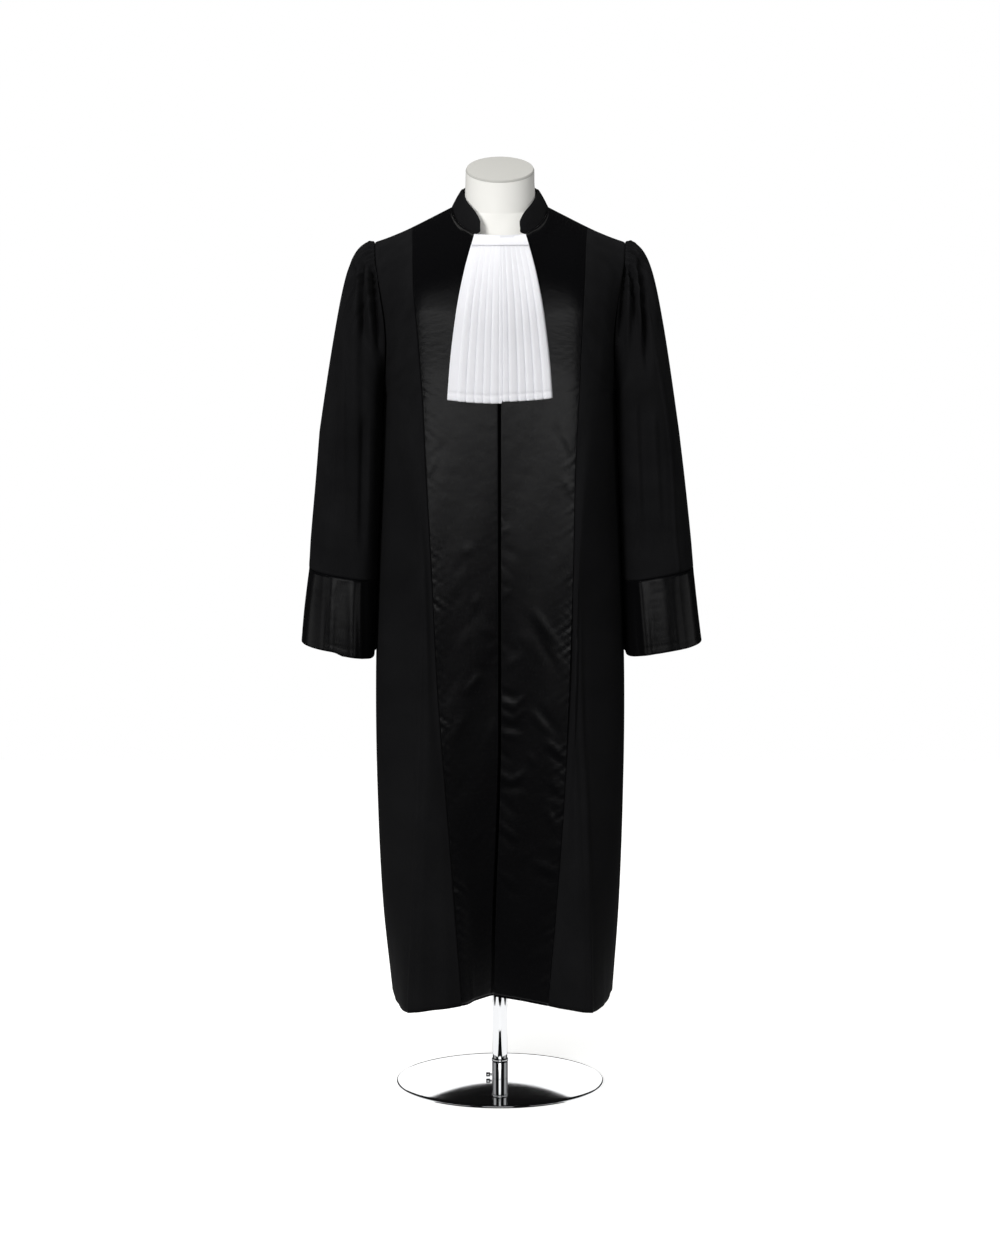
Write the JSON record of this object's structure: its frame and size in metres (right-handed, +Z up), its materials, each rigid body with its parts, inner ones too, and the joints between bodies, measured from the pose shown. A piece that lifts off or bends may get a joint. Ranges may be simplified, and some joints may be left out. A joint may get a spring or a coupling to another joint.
{
  "type": "judicial robe on limbless dress form",
  "caption": "Long open-sleeved judicial robe with satin fronts and cuffs, a stand collar and a pleated white jabot, worn by a limbless dress form on a pole and round plate.",
  "frame": {"origin": "on the floor under the pole, the centre of the base plate's underside", "axes": "+Z up, the robe's front faces -Y, +X is the wearer's left"},
  "size_m": [0.722, 0.3968, 1.687],
  "materials": {
    "matte_cloth": "black plain-woven suiting, matte",
    "collar_cloth": "black suiting over a firm interlining",
    "satin": "black satin, soft shine",
    "white_cloth": "white pleated polyester crepe",
    "form_shell": "smooth white moulded shell, satin-matte",
    "cap_paint": "smooth light grey paint",
    "chrome": "polished chrome plate"
  },
  "bodies": {
    "root": {"satin_front_right": "satin", "satin_front_left": "satin", "front_right": "matte_cloth", "front_left": "matte_cloth", "back": "matte_cloth", "collar": "collar_cloth", "sleeve_right": "matte_cloth", "sleeve_left": "matte_cloth", "cuff_right": "satin", "cuff_left": "satin", "jabot": "white_cloth", "jabot_band": "white_cloth", "form_torso": "form_shell", "neck_cap": "cap_paint", "pole": "chrome", "pole_ring": "chrome", "pole_socket": "chrome", "thumb_screw": "chrome", "base_plate": "chrome"}
  },
  "joints": []
}
